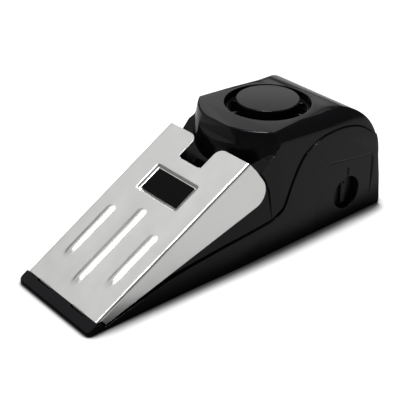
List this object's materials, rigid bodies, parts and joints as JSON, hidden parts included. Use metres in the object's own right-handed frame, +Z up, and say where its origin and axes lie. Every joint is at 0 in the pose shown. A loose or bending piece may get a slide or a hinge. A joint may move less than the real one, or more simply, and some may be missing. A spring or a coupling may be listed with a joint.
{
  "type": "door stop alarm",
  "caption": "Wedge door stop with a hinged sheet metal plate that triggers a siren in the raised rear tower, with a side dial and a battery door underneath",
  "frame": {"origin": "centre of the footprint, on the surface it stands on", "axes": "+X from the thin nose towards the siren end, +Y away from the dial side, +Z up"},
  "size_m": [0.145, 0.048, 0.0521],
  "materials": {
    "black_shell": "semi gloss moulded black",
    "plate_steel": "satin pressed sheet",
    "label_black": "printed black",
    "dark_plastic": "moulded black",
    "brass": "rolled brass",
    "ceramic_white": "silvered ceramic",
    "board_green": "solder mask",
    "coil_brown": "ferrite and enamelled wire",
    "capacitor_blue": "shrink sleeve",
    "resistor_tan": "lacquered",
    "trimmer_blue": "moulded blue",
    "plated_steel": "plated steel",
    "battery_grey": "printed steel jacket",
    "rubber": "matte rubber",
    "lead_red": "wire insulation",
    "lead_black": "wire insulation"
  },
  "bodies": {
    "casing": {"base_shell": "black_shell", "top_shell": "black_shell", "siren_grille": "black_shell", "siren_horn": "dark_plastic", "piezo_disc": "brass", "piezo_ceramic": "ceramic_white", "circuit_board": "board_green", "driver_chip": "dark_plastic", "boost_coil": "coil_brown", "capacitor_large": "capacitor_blue", "capacitor_small": "capacitor_blue", "vibration_sensor": "brass", "resistor_1": "resistor_tan", "resistor_2": "resistor_tan", "sensitivity_trimmer": "trimmer_blue", "power_switch_body": "plated_steel", "battery_9v": "battery_grey", "battery_terminal_positive": "plated_steel", "battery_terminal_negative": "plated_steel", "battery_snap": "dark_plastic", "trigger_board": "board_green", "trigger_switch": "dark_plastic", "front_grip_pad": "rubber", "rear_grip_pad": "rubber", "lead_red": "lead_red", "lead_black": "lead_black", "piezo_lead_red": "lead_red", "piezo_lead_black": "lead_black", "shell_screw_1": "plated_steel", "shell_screw_2": "plated_steel", "shell_screw_3": "plated_steel", "shell_screw_4": "plated_steel", "board_screw_1": "plated_steel", "board_screw_2": "plated_steel"},
    "plate": {"strike_plate": "plate_steel", "label_plate": "label_black"},
    "plunger": {"trigger_plunger": "dark_plastic", "trigger_spring": "plated_steel"},
    "dial": {"sensitivity_dial": "dark_plastic"},
    "slider": {"power_slider": "dark_plastic"},
    "battery_door": {"battery_cover": "black_shell"}
  },
  "joints": [
    {"name": "plate_press", "type": "hinge", "parent": "casing", "child": "plate", "pos_m": [-0.06844, 0, 0.00415], "axis": [0, 1, 0], "range_deg": [0, 3], "stiffness_Nm_per_rad": 0.5, "springref_deg": -5.73},
    {"name": "plunger_slide", "type": "slide", "parent": "casing", "child": "plunger", "axis": [0, 0, -1], "range_m": [0, 0.0034], "deforming": ["trigger_spring"]},
    {"name": "dial_turn", "type": "hinge", "parent": "casing", "child": "dial", "pos_m": [0.0521, -0.02, 0.0123], "axis": [0, 1, 0], "range_deg": [-60, 60]},
    {"name": "power_slide", "type": "slide", "parent": "casing", "child": "slider", "axis": [1, 0, 0], "range_m": [0, 0.004]},
    {"name": "battery_door_swing", "type": "hinge", "parent": "casing", "child": "battery_door", "pos_m": [-0.0291, 0, 0.0003], "axis": [0, 1, 0], "range_deg": [0, 75]}
  ],
  "couplings": [
    {"joint": "plunger_slide", "follows": "plate_press", "m_per_rad": 0.0635}
  ]
}
